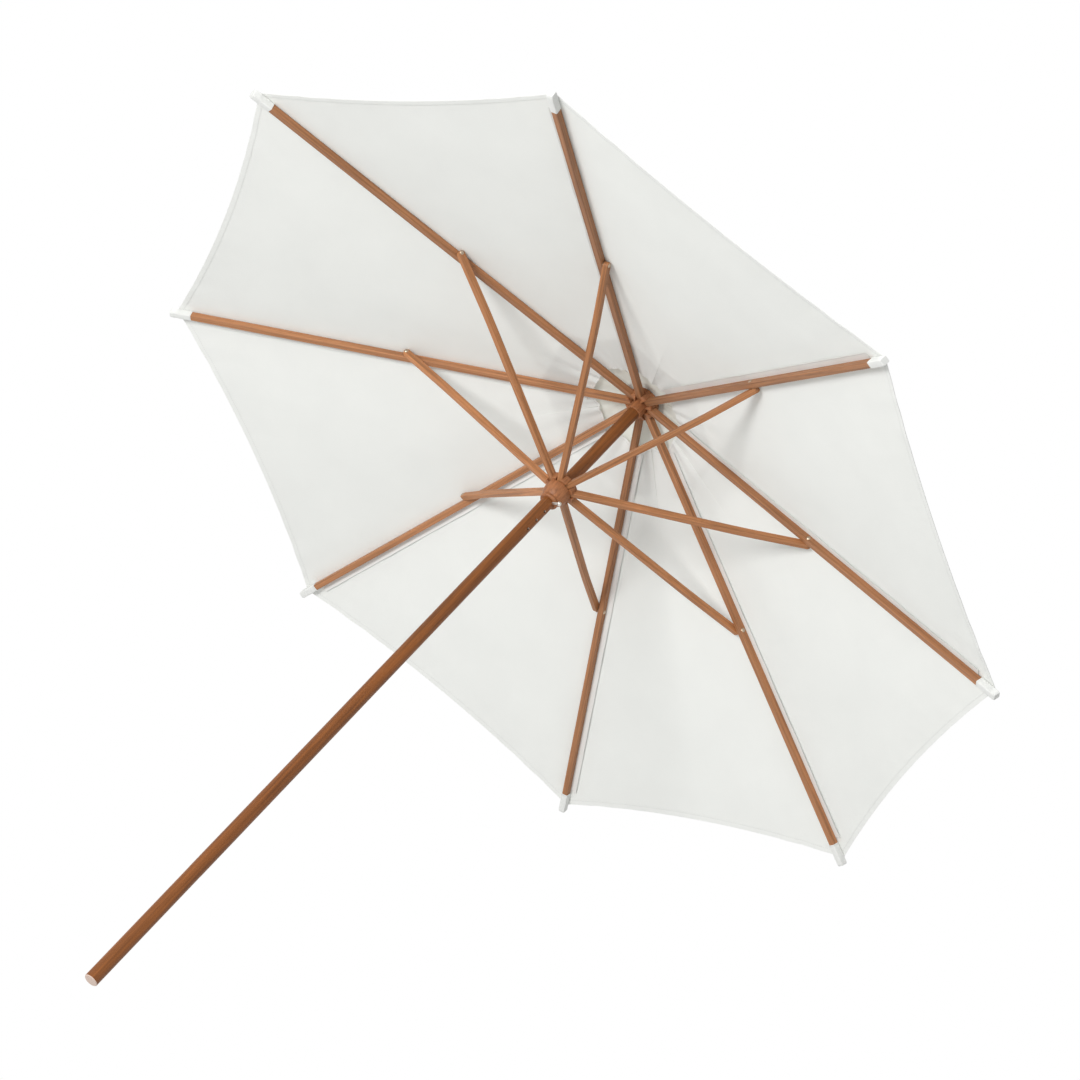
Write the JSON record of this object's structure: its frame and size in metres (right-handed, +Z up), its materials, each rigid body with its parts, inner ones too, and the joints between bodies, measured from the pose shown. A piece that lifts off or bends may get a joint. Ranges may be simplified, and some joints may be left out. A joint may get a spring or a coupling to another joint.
{
  "type": "patio umbrella",
  "caption": "Wooden market umbrella with a pole, hub, sliding runner, folding ribs and struts, a white fabric canopy with a vent cap, and a metal locking pin.",
  "frame": {"origin": "centre of the pole's lower end, on its axis", "axes": "+Z up along the pole, +X over rib 1"},
  "size_m": [2.7452, 2.7452, 2.5489],
  "materials": {
    "pole_wood": "satin oiled hardwood",
    "rib_wood": "satin oiled hardwood",
    "strut_wood": "satin oiled hardwood",
    "turned_wood": "satin oiled hardwood, turned",
    "metal": "zinc-plated steel",
    "canopy_fabric": "matt woven polyester",
    "cap_fabric": "matt woven polyester",
    "pocket_fabric": "matt woven polyester, doubled"
  },
  "bodies": {
    "pole": {"pole": "pole_wood", "hub": "turned_wood", "hub_dowel": "turned_wood", "hub_pins": "metal", "crown_spacer": "turned_wood", "crown_patch": "cap_fabric", "finial_stud": "metal", "finial": "turned_wood"},
    "rib_1": {"rib_1": "rib_wood", "joint_rivet_1": "metal", "tip_pocket_1": "pocket_fabric", "canopy_panel_1": "canopy_fabric", "cap_panel_1": "cap_fabric"},
    "strut_1": {"strut_1": "strut_wood"},
    "rib_2": {"rib_2": "rib_wood", "joint_rivet_2": "metal", "tip_pocket_2": "pocket_fabric", "canopy_panel_2": "canopy_fabric", "cap_panel_2": "cap_fabric"},
    "strut_2": {"strut_2": "strut_wood"},
    "rib_3": {"rib_3": "rib_wood", "joint_rivet_3": "metal", "tip_pocket_3": "pocket_fabric", "canopy_panel_3": "canopy_fabric", "cap_panel_3": "cap_fabric"},
    "strut_3": {"strut_3": "strut_wood"},
    "rib_4": {"rib_4": "rib_wood", "joint_rivet_4": "metal", "tip_pocket_4": "pocket_fabric", "canopy_panel_4": "canopy_fabric", "cap_panel_4": "cap_fabric"},
    "strut_4": {"strut_4": "strut_wood"},
    "rib_5": {"rib_5": "rib_wood", "joint_rivet_5": "metal", "tip_pocket_5": "pocket_fabric", "canopy_panel_5": "canopy_fabric", "cap_panel_5": "cap_fabric"},
    "strut_5": {"strut_5": "strut_wood"},
    "rib_6": {"rib_6": "rib_wood", "joint_rivet_6": "metal", "tip_pocket_6": "pocket_fabric", "canopy_panel_6": "canopy_fabric", "cap_panel_6": "cap_fabric"},
    "strut_6": {"strut_6": "strut_wood"},
    "rib_7": {"rib_7": "rib_wood", "joint_rivet_7": "metal", "tip_pocket_7": "pocket_fabric", "canopy_panel_7": "canopy_fabric", "cap_panel_7": "cap_fabric"},
    "strut_7": {"strut_7": "strut_wood"},
    "rib_8": {"rib_8": "rib_wood", "joint_rivet_8": "metal", "tip_pocket_8": "pocket_fabric", "canopy_panel_8": "canopy_fabric", "cap_panel_8": "cap_fabric"},
    "strut_8": {"strut_8": "strut_wood"},
    "runner": {"runner": "turned_wood", "runner_pins": "metal"},
    "locking_pin": {"locking_pin": "metal"}
  },
  "joints": [
    {"name": "rib_1_fold", "type": "hinge", "parent": "pole", "child": "rib_1", "pos_m": [0.034, 0, 2.425], "axis": [0, 1, 0], "range_deg": [0, 68], "deforming": ["canopy_panel_1", "canopy_panel_2", "canopy_panel_3", "canopy_panel_4", "canopy_panel_5", "canopy_panel_6", "canopy_panel_7", "canopy_panel_8", "cap_panel_1", "cap_panel_2", "cap_panel_3", "cap_panel_4", "cap_panel_5", "cap_panel_6", "cap_panel_7", "cap_panel_8"]},
    {"name": "strut_1_fold", "type": "hinge", "parent": "rib_1", "child": "strut_1", "pos_m": [0.6749, 0, 2.22293], "axis": [0, 1, 0], "range_deg": [-136, 0]},
    {"name": "rib_2_fold", "type": "hinge", "parent": "pole", "child": "rib_2", "pos_m": [0.02404, 0.02404, 2.425], "axis": [-0.7071, 0.7071, 0], "range_deg": [0, 68]},
    {"name": "strut_2_fold", "type": "hinge", "parent": "rib_2", "child": "strut_2", "pos_m": [0.47723, 0.47723, 2.22293], "axis": [-0.7071, 0.7071, 0], "range_deg": [-136, 0]},
    {"name": "rib_3_fold", "type": "hinge", "parent": "pole", "child": "rib_3", "pos_m": [0, 0.034, 2.425], "axis": [-1, 0, 0], "range_deg": [0, 68]},
    {"name": "strut_3_fold", "type": "hinge", "parent": "rib_3", "child": "strut_3", "pos_m": [0, 0.6749, 2.22293], "axis": [-1, 0, 0], "range_deg": [-136, 0]},
    {"name": "rib_4_fold", "type": "hinge", "parent": "pole", "child": "rib_4", "pos_m": [-0.02404, 0.02404, 2.425], "axis": [-0.7071, -0.7071, 0], "range_deg": [0, 68]},
    {"name": "strut_4_fold", "type": "hinge", "parent": "rib_4", "child": "strut_4", "pos_m": [-0.47723, 0.47723, 2.22293], "axis": [-0.7071, -0.7071, 0], "range_deg": [-136, 0]},
    {"name": "rib_5_fold", "type": "hinge", "parent": "pole", "child": "rib_5", "pos_m": [-0.034, 0, 2.425], "axis": [0, -1, 0], "range_deg": [0, 68]},
    {"name": "strut_5_fold", "type": "hinge", "parent": "rib_5", "child": "strut_5", "pos_m": [-0.6749, 0, 2.22293], "axis": [0, -1, 0], "range_deg": [-136, 0]},
    {"name": "rib_6_fold", "type": "hinge", "parent": "pole", "child": "rib_6", "pos_m": [-0.02404, -0.02404, 2.425], "axis": [0.7071, -0.7071, 0], "range_deg": [0, 68]},
    {"name": "strut_6_fold", "type": "hinge", "parent": "rib_6", "child": "strut_6", "pos_m": [-0.47723, -0.47723, 2.22293], "axis": [0.7071, -0.7071, 0], "range_deg": [-136, 0]},
    {"name": "rib_7_fold", "type": "hinge", "parent": "pole", "child": "rib_7", "pos_m": [0, -0.034, 2.425], "axis": [1, 0, 0], "range_deg": [0, 68]},
    {"name": "strut_7_fold", "type": "hinge", "parent": "rib_7", "child": "strut_7", "pos_m": [0, -0.6749, 2.22293], "axis": [1, 0, 0], "range_deg": [-136, 0]},
    {"name": "rib_8_fold", "type": "hinge", "parent": "pole", "child": "rib_8", "pos_m": [0.02404, -0.02404, 2.425], "axis": [0.7071, 0.7071, 0], "range_deg": [0, 68]},
    {"name": "strut_8_fold", "type": "hinge", "parent": "rib_8", "child": "strut_8", "pos_m": [0.47723, -0.47723, 2.22293], "axis": [0.7071, 0.7071, 0], "range_deg": [-136, 0]},
    {"name": "runner_level", "type": "hinge", "parent": "strut_1", "child": "runner", "pos_m": [0.034, 0, 2.02085], "axis": [0, 1, 0], "range_deg": [0, 68]},
    {"name": "locking_pin_pull", "type": "slide", "parent": "pole", "child": "locking_pin", "axis": [0.3827, -0.9239, 0], "range_m": [0, 0.055]}
  ],
  "couplings": [
    {"joint": "strut_1_fold", "follows": "rib_1_fold", "ratio": -2},
    {"joint": "rib_2_fold", "follows": "rib_1_fold", "ratio": 1},
    {"joint": "strut_2_fold", "follows": "rib_1_fold", "ratio": -2},
    {"joint": "rib_3_fold", "follows": "rib_1_fold", "ratio": 1},
    {"joint": "strut_3_fold", "follows": "rib_1_fold", "ratio": -2},
    {"joint": "rib_4_fold", "follows": "rib_1_fold", "ratio": 1},
    {"joint": "strut_4_fold", "follows": "rib_1_fold", "ratio": -2},
    {"joint": "rib_5_fold", "follows": "rib_1_fold", "ratio": 1},
    {"joint": "strut_5_fold", "follows": "rib_1_fold", "ratio": -2},
    {"joint": "rib_6_fold", "follows": "rib_1_fold", "ratio": 1},
    {"joint": "strut_6_fold", "follows": "rib_1_fold", "ratio": -2},
    {"joint": "rib_7_fold", "follows": "rib_1_fold", "ratio": 1},
    {"joint": "strut_7_fold", "follows": "rib_1_fold", "ratio": -2},
    {"joint": "rib_8_fold", "follows": "rib_1_fold", "ratio": 1},
    {"joint": "strut_8_fold", "follows": "rib_1_fold", "ratio": -2},
    {"joint": "runner_level", "follows": "rib_1_fold", "ratio": 1}
  ]
}
